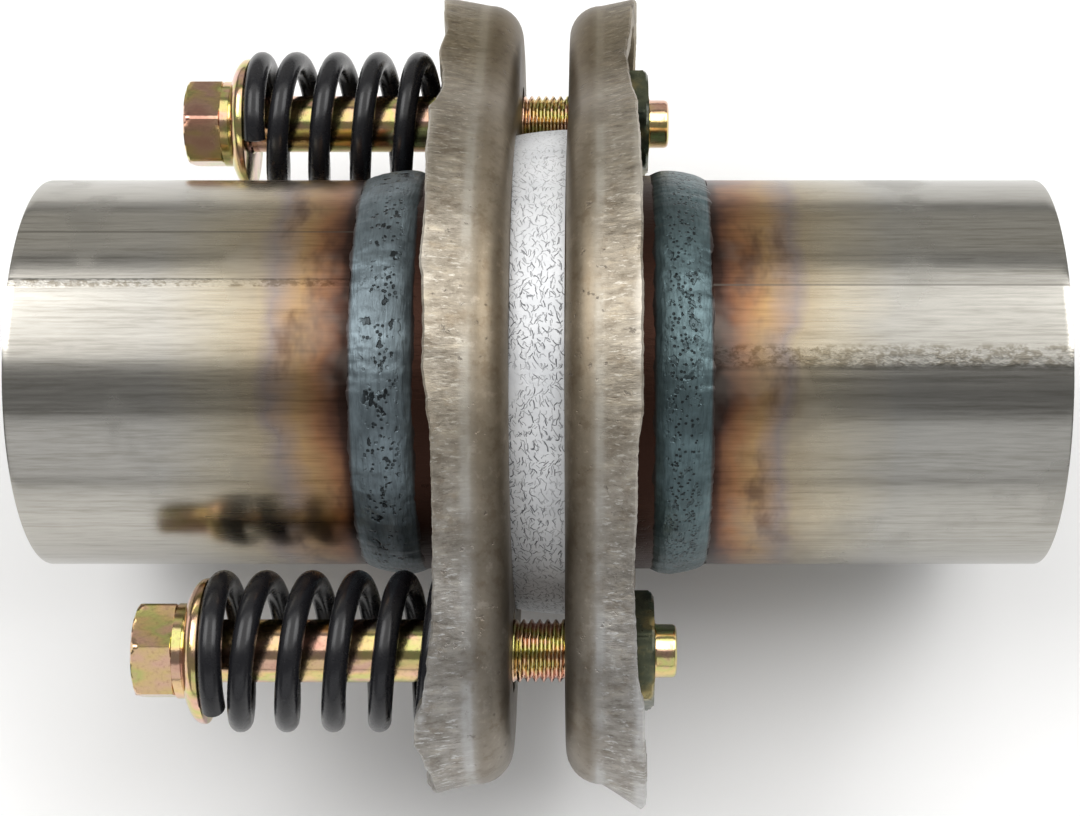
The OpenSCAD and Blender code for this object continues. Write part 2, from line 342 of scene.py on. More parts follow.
def flange_material(name, face_x, raw_x, seed):
    """Pressed steel: drawn streaks along the rim, small pits, brown tint by the neck; painted shade
    on the face, bend and rear ear, a painted cool cast on the front ear, and painted highlights on
    the rim.
    """
    s = Shader(name, 0.9, 0.42)
    x, y, z = s.split(s.place)[:3]
    radius = s.maths("SQRT", s.maths("ADD", s.maths("MULTIPLY", y, y), s.maths("MULTIPLY", z, z)))
    rim = s.maths("DIVIDE", s.maths("SUBTRACT", x, face_x * MM), (raw_x - face_x) * MM, clamp=True)
    drawn = s.step(rim, 0.34, 0.62)
    streak = s.noise((190, 760, 760), 6, 0.7, seed)
    cloud = s.noise((75, 75, 75), 5, 0.6, seed + 4)
    mottle = s.noise((330, 300, 300), 5, 0.7, seed + 16)
    speck = s.noise((700, 700, 700), 4, 0.65, seed + 8)
    base = s.ramp(cloud, [(0.30, (0.24, 0.208, 0.162)), (0.5, (0.32, 0.283, 0.226)),
                          (0.72, (0.40, 0.36, 0.298))])
    base = s.mix(s.maths("MULTIPLY", s.step(mottle, 0.50, 0.66), 0.50), base,
                 (0.20, 0.155, 0.105))
    base = s.mix(s.maths("MULTIPLY", s.step(mottle, 0.44, 0.30), 0.35), base,
                 (0.62, 0.57, 0.49))
    marks = s.ramp(streak, [(0.30, (0.60, 0.58, 0.55)), (0.52, (1.0, 1.0, 1.0)),
                            (0.70, (1.35, 1.33, 1.27))])
    colour = s.mix(s.maths("MULTIPLY_ADD", drawn, 0.75, 0.2), base,
                   s.mix(1.0, base, marks, "MULTIPLY"))
    # Painted shade: the front face and bend (rim below 0.30 to 0.44) are darkened and browned, a
    # painted reflection of the dark gap between the flanges.
    colour = s.mix(s.step(rim, 0.30, 0.44), s.mix(1.0, colour, (0.70, 0.65, 0.58), "MULTIPLY"),
                   colour)
    scratch = s.noise((300, 1900, 1900), 4, 0.7, seed + 24)
    light_dash = s.maths("MULTIPLY", s.step(scratch, 0.56, 0.66), drawn)
    colour = s.mix(s.maths("MULTIPLY", light_dash, 0.6), colour, (0.66, 0.62, 0.545))
    dark_dash = s.maths("MULTIPLY", s.step(scratch, 0.43, 0.34), drawn)
    colour = s.mix(s.maths("MULTIPLY", dark_dash, 0.5), colour, (0.12, 0.095, 0.07))
    # Painted highlight: a lighter band part way down the rim (rim 0.38 to 0.56), in patches.
    painted_highlight_band = s.maths("MULTIPLY", s.step(rim, 0.38, 0.44),
                    s.maths("SUBTRACT", 1.0, s.step(rim, 0.48, 0.56)))
    painted_highlight_band = s.maths("MULTIPLY", painted_highlight_band, s.maths("MULTIPLY", s.step(cloud, 0.40, 0.60), 0.45))
    colour = s.mix(painted_highlight_band, colour, (0.50, 0.475, 0.42))
    # Painted highlight: lighter patches along the raw edge (rim 0.86 to 0.98).
    raw_edge_painted_highlight = s.maths("MULTIPLY", s.step(rim, 0.86, 0.98), s.step(cloud, 0.40, 0.52))
    colour = s.mix(s.maths("MULTIPLY", raw_edge_painted_highlight, 0.5), colour, (0.66, 0.62, 0.55))
    # Painted shade: the rear ear (Y above 12 to 56 mm) is darkened and warmed.
    colour = s.mix(s.step(y, 0.012, 0.056), colour,
                   s.mix(1.0, colour, (0.62, 0.575, 0.48), "MULTIPLY"))
    # Painted light: the front ear (Y below -22 to -52 mm) gets a cool blue cast.
    colour = s.mix(s.step(y, -0.022, -0.052), colour,
                   s.mix(1.0, colour, (0.98, 1.05, 1.20), "MULTIPLY"))
    pits = s.step(speck, 0.62, 0.72)
    colour = s.mix(s.maths("MULTIPLY", pits, 0.55), colour, (0.12, 0.10, 0.085))
    behind = s.step(rim, 0.45, 0.62)
    hot = s.maths("MULTIPLY", behind, s.maths("SUBTRACT", 1.0, s.step(radius, 0.0345, 0.040)))
    colour = s.mix(hot, colour, (0.032, 0.013, 0.008))
    rough = s.maths("MULTIPLY_ADD", cloud, 0.22, 0.32)
    height = s.maths("MULTIPLY", streak, s.maths("MULTIPLY_ADD", drawn, 0.85, 0.15))
    shape = s.bump(height, 0.8, 0.00012)
    shape = s.bump(mottle, 0.5, 0.00008, shape)
    shape = s.bump(s.maths("MULTIPLY", scratch, drawn), 0.5, 0.00008, shape)
    shape = s.bump(s.maths("SUBTRACT", 1.0, pits), 0.5, 0.0001, shape)
    return s.out(Base_Color=colour, Roughness=rough, Normal=shape)


def weld_material(name, centre_x, width, seed, tone, pinholes, blotches):
    """Blue-grey weld metal: fine lines along the run, and pits and dark spots mid-bead."""
    s = Shader(name, 0.75, 0.42)
    x = s.split(s.place)[0]
    u = s.split(s.node("ShaderNodeTexCoord").outputs["UV"])[0]
    off = s.maths("ABSOLUTE", s.maths("DIVIDE", s.maths("SUBTRACT", x, centre_x * MM),
                                      width / 2 * MM))
    run = s.maths("MULTIPLY_ADD", s.maths("POWER", off, 1.7), 2.4, s.maths("MULTIPLY", u, 60.0))
    lines = s.node("ShaderNodeTexNoise", {"Vector": s.node(
        "ShaderNodeCombineXYZ", {0: run, 1: s.maths("MULTIPLY", x, 1900.0), 2: seed}).outputs[0],
        "Scale": 1.0, "Detail": 3.0, "Roughness": 0.6, "Distortion": 0.3}).outputs[0]
    cloud = s.noise((160, 160, 160), 4, 0.6, seed)
    grain = s.noise((1500, 1500, 1500), 3, 0.6, seed + 2)
    spots = s.noise((620, 520, 520), 2, 0.5, seed + 5)
    pins = s.node("ShaderNodeTexVoronoi", {"Vector": s.place, "Scale": 900.0 + 1800.0 * pinholes,
                                           "Randomness": 1.0}).outputs["Distance"]
    middle = s.maths("SUBTRACT", 1.0, s.step(off, 0.35, 0.72))
    colour = s.ramp(cloud, [(0.28, tuple(0.55 * c for c in tone)), (0.5, tone),
                            (0.72, tuple(1.5 * c for c in tone))])
    colour = s.mix(s.maths("MULTIPLY", s.step(lines, 0.45, 0.62), 0.45), colour,
                   tuple(0.45 * c for c in tone))
    colour = s.mix(s.maths("MULTIPLY", grain, 0.3), colour, tuple(0.5 * c for c in tone))
    dark = s.maths("MULTIPLY", s.step(spots, 0.60, 0.66), s.maths("MULTIPLY", middle, blotches))
    crowd = s.step(s.noise((330, 330, 330), 2, 0.5, seed + 9), 0.60 - pinholes, 0.72 - pinholes)
    hole = s.maths("MULTIPLY", s.maths("SUBTRACT", 1.0, s.step(pins, 0.24, 0.36)),
                   s.maths("MULTIPLY", crowd, middle))
    black = s.maths("MAXIMUM", dark, hole)
    colour = s.mix(s.maths("MULTIPLY", black, 0.92), colour, (0.014, 0.018, 0.020))
    edge = s.step(off, 0.88, 1.0)
    colour = s.mix(s.maths("MULTIPLY", edge, 0.85), colour, (0.05, 0.03, 0.024))
    rough = s.maths("MULTIPLY_ADD", dark, -0.18, 0.40)
    shape = s.bump(grain, 0.3, 0.0001)
    shape = s.bump(lines, 0.5, 0.00015, shape)
    shape = s.bump(s.maths("SUBTRACT", 1.0, black), 0.7, 0.0003, shape)
    return s.out(Base_Color=colour, Roughness=rough, Normal=shape)


def stroke_layer(s, uv, columns, rows, shift, reach, thin):
    """Short curved wires, one in each cell of a grid, each turned its own way."""
    moved = s.node("ShaderNodeVectorMath", {0: uv, 1: (columns, rows, 0.0), 2: shift},
                   operation="MULTIPLY_ADD").outputs[0]
    cell = s.node("ShaderNodeVectorMath", {0: moved}, operation="FLOOR").outputs[0]
    local = s.node("ShaderNodeVectorMath", {0: moved}, operation="FRACTION").outputs[0]
    chance = s.node("ShaderNodeTexWhiteNoise", {"Vector": cell}, noise_dimensions="3D")
    turn = s.maths("MULTIPLY_ADD", chance.outputs["Value"], 2.3, 0.42)
    middle = s.node("ShaderNodeVectorMath", {0: chance.outputs["Color"], 1: (0.42, 0.42, 0.0),
                                             2: (0.29, 0.29, 0.0)},
                    operation="MULTIPLY_ADD").outputs[0]
    centred = s.node("ShaderNodeVectorMath", {0: local, 1: middle},
                     operation="SUBTRACT").outputs[0]
    spun = s.node("ShaderNodeVectorRotate", {"Vector": centred, "Angle": turn},
                  rotation_type="Z_AXIS").outputs[0]
    px, py = s.split(spun)[:2]
    swing = s.maths("MULTIPLY_ADD", s.split(chance.outputs["Color"])[2], 3.0, -1.5)
    bow = s.maths("MULTIPLY", s.maths("MULTIPLY", py, py), swing)
    away = s.maths("ABSOLUTE", s.maths("SUBTRACT", px, bow))
    line = s.maths("SUBTRACT", 1.0, s.step(away, thin * 0.4, thin))
    ends = s.maths("SUBTRACT", 1.0, s.step(s.maths("ABSOLUTE", py), reach * 0.8, reach))
    return s.maths("MULTIPLY", line, ends)


# Layers of short wires: columns, rows, shift, half width and darkness
STROKES = ((118.0, 7.3, (0.0, 0.0, 0.0), 0.055, 0.95),
           (141.0, 8.7, (0.37, 0.51, 3.0), 0.06, 0.8),
           (167.0, 10.2, (0.11, 0.23, 7.0), 0.06, 0.6),
           (193.0, 11.7, (0.71, 0.83, 12.0), 0.06, 0.5),
           (97.0, 6.3, (0.53, 0.17, 17.0), 0.04, 0.6))


def gasket_material():
    """Pressed knitted wire: near white, with short dark curved wires all over."""
    s = Shader("knitted_gasket", 0.25, 0.5)
    uv = s.node("ShaderNodeTexCoord").outputs["UV"]
    bend = s.noise((260, 260, 260), 3, 0.6)
    bent = s.node("ShaderNodeVectorMath", {0: uv, 1: s.node(
        "ShaderNodeCombineXYZ", {0: s.maths("MULTIPLY", bend, 0.010),
                                 1: s.maths("MULTIPLY", bend, 0.12)}).outputs[0]},
        operation="ADD").outputs[0]
    wires = 0.0
    for columns, rows, shift, thin, strength in STROKES:
        layer = stroke_layer(s, bent, columns, rows, shift, 0.30, thin)
        wires = s.maths("MAXIMUM", wires, s.maths("MULTIPLY", layer, strength))
    patch = s.noise((90, 90, 90), 3, 0.6, 11)
    # Painted highlight: the dark wires fade by up to 42% from Y -18 mm toward Y 26 mm, so the upper
    # side looks lit.
    painted_highlight_fade = s.maths("MULTIPLY_ADD", s.step(s.split(s.place)[1], -0.018, 0.026), -0.42, 1.0)
    wires = s.maths("MULTIPLY", wires, s.maths("MULTIPLY", s.step(patch, 0.30, 0.52), painted_highlight_fade))
    cloud = s.noise((120, 120, 120), 4, 0.6, 5)
    weave = s.noise((700, 2400, 2400), 3, 0.6, 2)
    base = s.ramp(cloud, [(0.3, (0.60, 0.615, 0.635)), (0.65, (0.76, 0.77, 0.785))])
    base = s.mix(s.maths("MULTIPLY", weave, 0.20), base, (0.48, 0.50, 0.53))
    colour = s.mix(s.maths("MULTIPLY", wires, 0.95), base, (0.06, 0.065, 0.075))
    shape = s.bump(s.maths("SUBTRACT", 1.0, wires), 0.6, 0.00025)
    shape = s.bump(weave, 0.3, 0.0001, shape)
    return s.out(Base_Color=colour, Normal=shape)


def zinc_material(name, seed):
    """Yellow zinc plate: gold that drifts to pink, copper and green."""
    s = Shader(name, 1.0, 0.2)
    drift = s.noise((90, 160, 160), 3, 0.5, seed)
    grain = s.noise((1600, 1600, 1600), 3, 0.6, seed + 3)
    colour = s.ramp(drift, [(0.32, (0.62, 0.34, 0.26)), (0.42, (0.72, 0.46, 0.33)),
                            (0.50, (0.70, 0.52, 0.24)), (0.56, (0.55, 0.54, 0.20)),
                            (0.62, (0.70, 0.46, 0.30)), (0.72, (0.72, 0.44, 0.42))])
    colour = s.mix(s.maths("MULTIPLY", s.step(grain, 0.5, 0.75), 0.35), colour,
                   (0.36, 0.20, 0.12))
    rough = s.maths("MULTIPLY_ADD", grain, 0.16, 0.07)
    return s.out(Base_Color=colour, Roughness=rough, Normal=s.bump(grain, 0.22, 0.00006))


def spring_material():
    s = Shader("black_spring", 0.0, 0.28, (0.012, 0.012, 0.014))
    s.surface.inputs["Coat Weight"].default_value = 0.15
    s.surface.inputs["Coat Roughness"].default_value = 0.14
    s.surface.inputs["Specular IOR Level"].default_value = 0.3
    grain = s.noise((500, 500, 500), 4, 0.6)
    dust = s.step(s.noise((1400, 1400, 1400), 4, 0.7, 6), 0.60, 0.78)
    colour = s.mix(s.maths("MULTIPLY", dust, 0.35), (0.010, 0.010, 0.012), (0.075, 0.08, 0.085))
    rough = s.maths("MULTIPLY_ADD", grain, 0.22, 0.16)
    return s.out(Base_Color=colour, Roughness=rough, Normal=s.bump(grain, 0.15, 0.0001))


def nut_material():
    s = Shader("dark_nut", 0.9, 0.3)
    drift = s.noise((150, 150, 150), 4, 0.55, 1)
    grain = s.noise((1500, 1500, 1500), 3, 0.6, 2)
    # Painted reflection: the nut's zinc is painted dark olive for the dark surroundings it mirrors;
    # the brass patches fall at random.
    colour = s.ramp(drift, [(0.34, (0.05, 0.06, 0.045)), (0.50, (0.15, 0.165, 0.105)),
                            (0.62, (0.42, 0.34, 0.15))])
    colour = s.mix(s.maths("MULTIPLY", grain, 0.4), colour, (0.03, 0.03, 0.025))
    return s.out(Base_Color=colour, Roughness=s.maths("MULTIPLY_ADD", grain, 0.2, 0.2),
                 Normal=s.bump(grain, 0.2, 0.0001))


def sleeve_material():
    s = Shader("sleeve_steel", 1.0, 0.35)
    streak = s.noise((500, 60, 60), 4, 0.6)
    colour = s.ramp(streak, [(0.3, (0.30, 0.25, 0.21)), (0.7, (0.50, 0.46, 0.41))])
    return s.out(Base_Color=colour, Normal=s.bump(streak, 0.3, 0.0001))


# ---------------------------------------------------------------- pipes and welds
def tube_stub(name, weld_x, weld_width, end_x, seam_angle):
    """A stub from its weld to its open end, with a slightly burred rim and a welded seam."""
    away = 1 if end_x > weld_x else -1
    toe = weld_x + away * weld_width / 2
    around = 360
    root_r = PIPE_R - 0.4
    seam_height, seam_half_width = 0.05, 0.5
    length = abs(end_x - toe)
    outer = [toe + away * length * t for t in np.linspace(0, 1, 40)[:-1]]
    xs = [weld_x, toe] + outer + [end_x - away * 0.35, end_x - away * 0.08, end_x,
                                  end_x, end_x - away * 0.3, weld_x + away * 10, weld_x]
    radii = [root_r, root_r] + [PIPE_R] * len(outer) + [PIPE_R, PIPE_R - 0.08, PIPE_R - 0.3,
                                                        BORE_R + 0.3, BORE_R, BORE_R, BORE_R]
    points = ring_points(xs, radii, around)
    angle = np.linspace(0, 2 * math.pi, around, endpoint=False)
    offset = np.angle(np.exp(1j * (angle - seam_angle)))
    seam = seam_height * np.exp(-(offset * PIPE_R / seam_half_width) ** 2)
    for row in range(2, len(outer) + 2):
        points[row, :, 1] += seam * np.cos(angle)
        points[row, :, 2] += seam * np.sin(angle)
    return grid_object(name, points, True)


def bead_ring(name, weld, neck_side, seed, ripple_size, ripple_height, bow):
    """A wide weld bead whose toes wander, with overlapping ripples from the torch."""
    centre, width = weld
    around, across = 900, 26
    noise_r = 32
    toe_wander, lump_height, grain_height, crown = 0.38, 0.16, 0.05, 1.0
    angle = np.linspace(0, 2 * math.pi, around, endpoint=False)
    ring_y, ring_z = np.cos(angle), np.sin(angle)
    on_y, on_z = ring_y * noise_r, ring_z * noise_r
    toe_low = toe_wander * ripple(on_y, on_z, seed, 4.5, 4)
    toe_high = toe_wander * ripple(on_y, on_z, seed + 50, 4.5, 4)
    lump = lump_height * ripple(on_y, on_z, seed + 90, 6.0, 3)
    rows = []
    for u in np.linspace(-1, 1, across):
        edge = np.where(u < 0, toe_low * -u, toe_high * u)
        x = centre + u * width / 2 + edge
        on_neck = smooth_step(-0.9, 0.9, u * neck_side)
        base = PIPE_R + (NECK_R - PIPE_R) * on_neck
        dome = crown * (1 - abs(u) ** 2.6)
        phase = (angle * PIPE_R + bow * abs(u) ** 1.7 + lump * 12) / ripple_size
        wave = (np.abs(np.sin(phase * math.pi)) - 0.6) * (0.35 + 0.65 * abs(u))
        rough = grain_height * ripple(on_y, on_z, u * 5 + seed, 1.2, 2)
        height = dome + (wave * ripple_height + lump + rough) * min(1, 4 * (1 - abs(u)))
        rows.append(np.stack([x, (base + height) * ring_y, (base + height) * ring_z], -1))
    for u in (1, -1):
        x = np.full(around, centre + u * (width / 2 - 0.6))
        rows.append(np.stack([x, (PIPE_R - 0.2) * ring_y, (PIPE_R - 0.2) * ring_z], -1))
    return grid_object(name, np.array(rows), True, 60)


# ---------------------------------------------------------------- flanges
def outline(around):
    """The flange outline as points and outward normals in the Y-Z plane: a wide lens joined
    to two round ears, with each waist rounded. Found along rays from the pipe axis."""
    angle = np.linspace(0, 2 * math.pi, around, endpoint=False)
    cos, sin = np.abs(np.cos(angle)), np.abs(np.sin(angle))
    rounding = 14.0
    inside, outside, halvings = 20.0, 90.0, 40
    near, far = np.full(around, inside), np.full(around, outside)
    for _ in range(halvings):
        radius = (near + far) / 2
        y, z = radius * cos, radius * sin
        lens = np.hypot(y, z + SIDE_SHIFT) - SIDE_R
        ear = np.hypot(y - BOLT_Y, z) - EAR_R
        share = np.clip(0.5 + 0.5 * (lens - ear) / rounding, 0, 1)
        gap = lens + (ear - lens) * share - rounding * share * (1 - share)
        near, far = np.where(gap < 0, radius, near), np.where(gap < 0, far, radius)
    points = np.stack([radius * np.cos(angle), radius * np.sin(angle)], -1)
    ahead, behind = np.roll(points, -1, 0), np.roll(points, 1, 0)
    along = ahead - behind
    normal = np.stack([along[:, 1], -along[:, 0]], -1)
    normal /= np.linalg.norm(normal, axis=1)[:, None]
    return angle, points, normal


def knots(value, pairs):
    """A smooth curve through a few (place, height) knots."""
    at, height = np.array(pairs, float).T
    upper = np.clip(np.searchsorted(at, value), 1, len(at) - 1)
    t = np.clip((value - at[upper - 1]) / (at[upper] - at[upper - 1]), 0, 1)
    t = t * t * (3 - 2 * t)
    return height[upper - 1] * (1 - t) + height[upper] * t


def flange(name, direction, depth, web, neck_end, front_rings, hole_r, edge_knots, tongue, seed):
    """A pressed flange as one closed skin. front_rings are the (z, radius) circles from the
    neck's bore round to the face; the skin then runs out over the face, round the bend, down
    the rim to its raw edge and back along the inside to the neck. tongue is how far the raw
    edge spreads out below the front ear."""
    around = 900
    crease = 38
    tongue_at, tongue_reach = math.radians(193), math.radians(15)
    fillet_r, fillet_height = NECK_FILLET
    back_hole_r = NECK_R + fillet_r
    angle, edge, normal = outline(around)
    wander = ripple(edge[:, 0], edge[:, 1], seed, 7.0, 4)
    chips = ripple(edge[:, 0], edge[:, 1], seed + 30, 1.6, 3)
    raw_wave = knots(edge[:, 0], edge_knots) + 0.15 * wander + 0.10 * chips
    side_wave = 0.30 * ripple(edge[:, 0], edge[:, 1], seed + 60, 13.0, 3)
    off = np.abs(angle - tongue_at) / tongue_reach
    side_wave += tongue * np.clip(1 - off, 0, 1) ** 1.2
    rows = []

    def circle(z, radius):
        rows.append(np.stack([np.full(around, float(z)), radius * np.cos(angle),
                              radius * np.sin(angle)], -1))

    def offset(inset, z, wave, between=None):
        """A ring at an inset from the outline; wave says how far it follows the raw edge."""
        flat = edge - normal * (inset - side_wave * wave)[:, None]
        if between is not None:
            radius, share = between
            ring = np.stack([radius * np.cos(angle), radius * np.sin(angle)], -1)
            flat = ring + (flat - ring) * share
        rows.append(np.stack([z + raw_wave * wave * wave, flat[:, 0], flat[:, 1]], -1))

    for z, radius in front_rings:
        circle(z, radius)
    face_r = front_rings[-1][1]
    for share in (0.2, 0.45, 0.7, 0.9, 1.0):
        offset(FLARE + BEND_R, 0, 0, (face_r, share))
    for turn in np.linspace(0, math.pi / 2, 10)[1:]:
        offset(FLARE + BEND_R * (1 - math.sin(turn)), BEND_R * (1 - math.cos(turn)), 0.0)
    for share in np.linspace(0, 1, 16)[1:]:
        z = BEND_R + (depth - 0.35 - BEND_R) * share
        offset(FLARE * (1 - share), z, share)
    offset(0.35, depth, 1.0)
    offset(SHEET - 0.4, depth, 1.0)
    for share in np.linspace(1, 0, 8):
        z = web + 1.0 + (depth - 0.4 - web - 1.0) * share
        lean = FLARE * (depth - z) / (depth - BEND_R)
        offset(SHEET + lean, z, share)
    lean = FLARE * (depth - web) / (depth - BEND_R)
    offset(SHEET + lean + 0.3, web + 0.3, 0)
    offset(SHEET + lean + 1.0, web, 0)
    for share in (0.75, 0.5, 0.25):
        offset(SHEET + lean + 1.0, web, 0, (back_hole_r, share))
    circle(web, back_hole_r)
    for turn in np.linspace(0, 1, 6)[1:]:
        circle(web + fillet_height * turn, NECK_R + (back_hole_r - NECK_R) * (1 - turn) ** 1.6)
    circle(neck_end, NECK_R)
    circle(neck_end, NECK_BORE_R)
    points = np.array(rows)
    points[..., 0] = direction * (HALF_GAP + points[..., 0])
    made = grid_object(name, points, True, crease)
    for y in (-BOLT_Y, BOLT_Y):
        cut_hole(made, y, 0, hole_r, direction * (HALF_GAP - 3), direction * (HALF_GAP + web + 3))
    finish_shading(made.data, crease)
    return made


# ---------------------------------------------------------------- bolts, nuts and springs
FASTENER_SIDES = 144
FASTENER_CREASE = 32


def hexagon(angle, flats, turn):
    """Distance from a hexagon's centre to its side, by direction."""
    sector = math.pi / 3
    return flats / 2 / np.cos((angle - turn) % sector - sector / 2)


def bolt(name, y, turn, thread_start):
    """A flanged hexagon bolt cut from one skin: head, round flange, shank and thread."""
    flats, flange_r, shank_r = 14.0, 11.3, 4.9
    pitch, thread_depth, dog_point = 1.25, 0.62, 3.4
    root_share, flank_share = 0.22, 0.56
    around = FASTENER_SIDES
    angle = np.linspace(0, 2 * math.pi, around, endpoint=False)
    seat, top, tip = HEAD_SEAT_X, BOLT_LO[0], BOLT_HI[0]
    hex_end = seat - HEAD_FLANGE
    hex_r = hexagon(angle, flats, turn + math.radians(30))
    rows = []

    def ring(x, radius):
        radius = np.broadcast_to(radius, (around,))
        rows.append(np.stack([np.full(around, float(x)), y + radius * np.cos(angle),
                              radius * np.sin(angle)], -1))

    for back, trim in ((0.0, 2.2), (0.04, 1.7), (0.16, 1.15), (0.4, 0.62), (0.8, 0.22), (1.4, 0.0)):
        ring(top + back, np.minimum(hex_r, flats / math.sqrt(3) - trim) - 0.25 * (back == 0))
    for x in np.linspace(top + 1.6, hex_end - 0.1, 8):
        ring(x, hex_r)
    for back, radius in ((4.7, 7.30), (4.65, 7.42), (3.3, 7.42), (3.15, 7.6), (2.95, 8.3),
                         (2.6, 9.2), (2.2, 10.0), (1.8, 10.6), (1.4, 11.0), (1.0, 11.22),
                         (0.6, flange_r), (0.2, flange_r), (0.05, flange_r - 0.1),
                         (0, flange_r - 0.3), (0, shank_r + 0.3), (-0.3, shank_r)):
        ring(seat - back, radius)
    for x in np.linspace(seat + 1, thread_start - 0.5, 6):
        ring(x, shank_r)
    end = tip - dog_point
    for x in np.arange(thread_start, end, pitch / 12):
        phase = (x / pitch + angle / (2 * math.pi)) % 1.0
        groove = np.clip((np.abs(phase - 0.5) * 2 - root_share) / flank_share, 0, 1)
        runout = smooth_step(0, 1.6, x - thread_start) * smooth_step(0, 1.0, end - x)
        ring(x, shank_r - thread_depth * (1 - groove) * runout)
    for x, radius in ((end, shank_r - 0.55), (end + 0.3, 4.17), (tip - 0.7, 4.15),
                      (tip - 0.3, 4.0), (tip - 0.08, 3.7), (tip, 3.3)):
        ring(x, radius)
    return grid_object(name, np.array(rows), False, FASTENER_CREASE)


def nut(name, y, turn):
    """A hexagon nut, chamfered at both ends, with a plain bore."""
    flats, bore_r, mouth_r = 17.0, 4.95, 5.6
    around = FASTENER_SIDES
    angle = np.linspace(0, 2 * math.pi, around, endpoint=False)
    low, high = NUT_LO[0], NUT_HI[0]
    hex_r = hexagon(angle, flats, turn + math.radians(30))
    corner = flats / math.sqrt(3)
    rows = []
    for x, trim in ((low, 1.15), (low + 0.35, 0.5), (low + 0.8, 0.0), (high - 0.9, 0.0),
                    (high - 0.45, 0.45), (high, 1.3)):
        radius = np.minimum(hex_r, corner - trim)
        rows.append(np.stack([np.full(around, x), y + radius * np.cos(angle),
                              radius * np.sin(angle)], -1))
    for x, radius in ((high, mouth_r), (high - 0.6, bore_r), (low + 0.6, bore_r), (low, mouth_r)):
        rows.append(ring_points([x], [radius], around, (y, 0))[0])
    return grid_object(name, np.array(rows), True, FASTENER_CREASE)


# Turns in a spring's tail half, the half at the socket flange's end
SPRING_TAIL = 1.35


def coil(name, y, start, half):
    """A left-hand coil. Its wire lies flat at each end, then bends into the full pitch. It is
    made in two halves that share one ring."""
    wire, outer, turns, flat, bend = 3.7, 25.2, 5.75, 0.3, 0.3
    per_turn, sides = 56, 20
    clearance = 0.05
    low, high = HEAD_SEAT_X, SPRING_SEAT_X
    coil_r = (outer - wire) / 2
    climb = high - low - wire - 2 * clearance
    pitch = climb / (turns - 2 * flat - bend)

    def rise(n):
        if n < flat:
            return 0
        if n < flat + bend:
            return pitch * (n - flat) ** 2 / (2 * bend)
        return pitch * (n - flat - bend / 2)

    rows = []
    steps = int(turns * per_turn)
    t = np.linspace(0, 2 * math.pi, sides, endpoint=False)
    split = steps - int(SPRING_TAIL * per_turn)
    places = range(-2, split + 1) if half == "head" else range(split, steps + 3)
    for i in places:
        n = min(max(i, 0), steps) * turns / steps
        x = rise(n) if n < turns / 2 else climb - rise(turns - n)
        past = max(-i, i - steps, 0)
        size = wire / 2 * (1.0, 0.88, 0.55)[past]
        a = math.radians(start) - 2 * math.pi * n
        a += math.copysign((0.0, 0.12, 0.25)[past], steps / 2 - i) / coil_r
        reach = coil_r + size * np.cos(t)
        rows.append(np.stack([low + wire / 2 + clearance + x + size * np.sin(t),
                              y + reach * math.cos(a), reach * math.sin(a)], -1))
    return grid_object(name, np.array(rows), False, 60)


# ---------------------------------------------------------------- build
def give(obj, material, body, node):
    obj.data.materials.clear()
    obj.data.materials.append(material)
    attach(obj, body)
    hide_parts(node)


def build_pipes():
    inlet_toe = INLET_WELD[0] - INLET_WELD[1] / 2
    outlet_toe = OUTLET_WELD[0] + OUTLET_WELD[1] / 2
    inlet = tube_stub("inlet_tube", *INLET_WELD, INLET_LO[0], math.radians(71.6))
    give(inlet, tube_material("inlet_stainless", inlet_toe, -1, (0.415, 0.40, 0.365), 36,
                             (0.6, 1.6), (18.4, 0.35)),
         "socket_side", "inlet_pipe")
    outlet = tube_stub("outlet_tube", *OUTLET_WELD, OUTLET_HI[0], math.radians(90))
    give(outlet, tube_material("outlet_stainless", outlet_toe, 1, (0.365, 0.355, 0.325), 34,
                              (-20.3, 4.2), (0.0, 0.4)),
         "gasket_side", "outlet_pipe")


def build_welds():
    inlet = bead_ring("inlet_bead", INLET_WELD, 1, 3, 3.4, 0.05, 8.0)
    give(inlet, weld_material("inlet_weld", *INLET_WELD, 2, (0.155, 0.195, 0.215), 0.13, 1.0),
         "socket_side", "inlet_weld_bead")
    outlet = bead_ring("outlet_bead", OUTLET_WELD, -1, 11, 2.1, 0.07, 11.0)
    give(outlet, weld_material("outlet_weld", *OUTLET_WELD, 7, (0.095, 0.14, 0.15), 0.24, 0.5),
         "gasket_side", "outlet_weld_bead")


def build_flanges():
    sphere_r = BALL_R + 0.3
    shoulder_z, shoulder_r, mouth_r = 6.4, 34.0, 39.8
    recess_depth = 2.0
    socket_hole_r, holder_hole_r = 6.5, 5.3
    socket_neck_end, holder_neck_end = 19.75, 18.0
    seat = [(z, math.sqrt(sphere_r ** 2 - (z + 2 * HALF_GAP) ** 2))
            for z in np.linspace(shoulder_z, 0.3, 7)]
    socket = flange("socket_pressing", -1, SOCKET_DEPTH, SOCKET_WEB, socket_neck_end,
                    [(shoulder_z, NECK_BORE_R), (shoulder_z, shoulder_r)] + seat
                    + [(0.0, mouth_r)], socket_hole_r, SOCKET_EDGE, 0.0, 5)
    give(socket, flange_material("socket_steel", -HALF_GAP, -HALF_GAP - SOCKET_DEPTH, 1),
         "socket_side", "socket_flange")
    holder = flange("gasket_pressing", 1, HOLDER_DEPTH, HOLDER_WEB, holder_neck_end,
                    [(recess_depth, NECK_BORE_R), (recess_depth, BALL_R), (0.3, BALL_R),
                     (0.0, BALL_R + 0.3)], holder_hole_r, HOLDER_EDGE, 5.0, 23)
    give(holder, flange_material("holder_steel", HALF_GAP, HALF_GAP + HOLDER_DEPTH, 12),
         "gasket_side", "gasket_flange")


